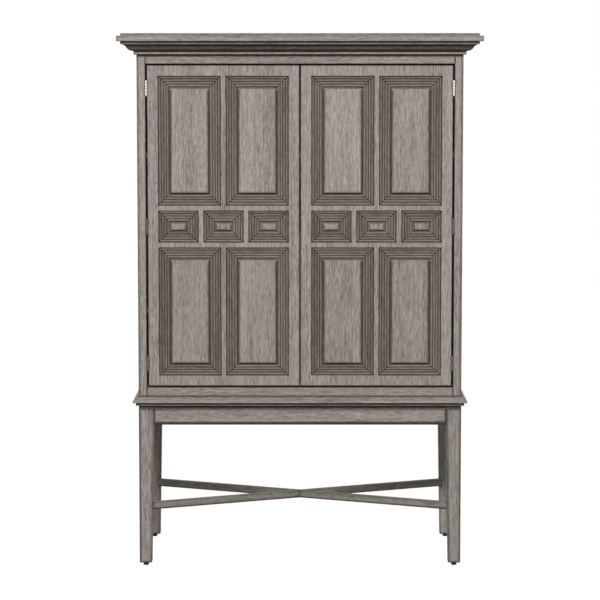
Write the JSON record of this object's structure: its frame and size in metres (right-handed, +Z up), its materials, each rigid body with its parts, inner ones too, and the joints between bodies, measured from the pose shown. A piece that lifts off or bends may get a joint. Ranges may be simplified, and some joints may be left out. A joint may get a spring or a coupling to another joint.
{
  "type": "bar cabinet",
  "caption": "Tall two-door bar cabinet with reeded mitred frames on its doors, on a stand with tapered legs and a crossed stretcher.",
  "frame": {"origin": "on the ground, in the middle of the cabinet's outline in plan", "axes": "+X to the right of someone facing the doors, +Y from the doors to the back, +Z up"},
  "size_m": [1.116, 0.55, 1.6525],
  "materials": {
    "oak": "grey-washed cerused oak, matt",
    "oak_moulding": "grey-washed oak with darker glaze in the grooves, matt",
    "nickel": "satin nickel",
    "steel": "zinc-plated",
    "black_plastic": "moulded",
    "black_rubber": "moulded"
  },
  "bodies": {
    "cabinet": {"leg_front_left": "oak", "leg_front_right": "oak", "leg_back_left": "oak", "leg_back_right": "oak", "apron_front": "oak", "apron_back": "oak", "apron_left": "oak", "apron_right": "oak", "stretcher_rising_right": "oak", "stretcher_rising_left": "oak", "corner_blocks": "oak", "base_bearers": "oak", "side_panel_left": "oak", "side_panel_right": "oak", "floor_panel": "oak", "ceiling_panel": "oak", "back_panel": "oak", "back_top_rail": "oak", "stile_left": "oak", "stile_right": "oak", "top_rail": "oak", "bottom_rail": "oak", "top_board": "oak", "top_cleats": "oak", "cornice_front": "oak", "cornice_left": "oak", "cornice_right": "oak", "base_moulding_front": "oak", "base_moulding_left": "oak", "base_moulding_right": "oak", "middle_shelf": "oak", "lower_divider": "oak", "upper_shelf": "oak", "lower_shelf": "oak", "shelf_battens": "oak", "stemware_rails": "oak", "wine_divider_rising": "oak", "wine_divider_falling": "oak", "door_stop": "oak", "foot_inserts": "steel", "hinge_case_leaves": "nickel", "hinge_pins": "nickel", "latch_housings": "black_plastic"},
    "left_door": {"door_left": "oak", "tall_frames_left": "oak_moulding", "small_frames_left": "oak_moulding", "hinge_door_leaves_left": "nickel", "strike_plate_left": "steel"},
    "left_plunger": {"latch_plunger_left": "black_plastic"},
    "right_door": {"door_right": "oak", "tall_frames_right": "oak_moulding", "small_frames_right": "oak_moulding", "hinge_door_leaves_right": "nickel", "strike_plate_right": "steel"},
    "right_plunger": {"latch_plunger_right": "black_plastic"},
    "front_left_foot": {"foot_front_left": "black_rubber"},
    "front_right_foot": {"foot_front_right": "black_rubber"},
    "back_left_foot": {"foot_back_left": "black_rubber"},
    "back_right_foot": {"foot_back_right": "black_rubber"}
  },
  "joints": [
    {"name": "left_door_hinge", "type": "hinge", "parent": "cabinet", "child": "left_door", "pos_m": [-0.471, -0.2195, 1.061], "axis": [0, 0, -1], "range_deg": [0, 170]},
    {"name": "right_door_hinge", "type": "hinge", "parent": "cabinet", "child": "right_door", "pos_m": [0.471, -0.2195, 1.061], "axis": [0, 0, 1], "range_deg": [0, 170]},
    {"name": "left_plunger_slide", "type": "slide", "parent": "cabinet", "child": "left_plunger", "axis": [0, -1, 0], "range_m": [0, 0.01]},
    {"name": "right_plunger_slide", "type": "slide", "parent": "cabinet", "child": "right_plunger", "axis": [0, -1, 0], "range_m": [0, 0.01]},
    {"name": "front_left_foot_screw", "type": "slide", "parent": "cabinet", "child": "front_left_foot", "axis": [0, 0, -1], "range_m": [0, 0.012]},
    {"name": "front_right_foot_screw", "type": "slide", "parent": "cabinet", "child": "front_right_foot", "axis": [0, 0, -1], "range_m": [0, 0.012]},
    {"name": "back_left_foot_screw", "type": "slide", "parent": "cabinet", "child": "back_left_foot", "axis": [0, 0, -1], "range_m": [0, 0.012]},
    {"name": "back_right_foot_screw", "type": "slide", "parent": "cabinet", "child": "back_right_foot", "axis": [0, 0, -1], "range_m": [0, 0.012]}
  ],
  "couplings": [
    {"joint": "left_plunger_slide", "follows": "left_door_hinge", "m_per_rad": 0.0033703},
    {"joint": "right_plunger_slide", "follows": "right_door_hinge", "m_per_rad": 0.0033703}
  ]
}
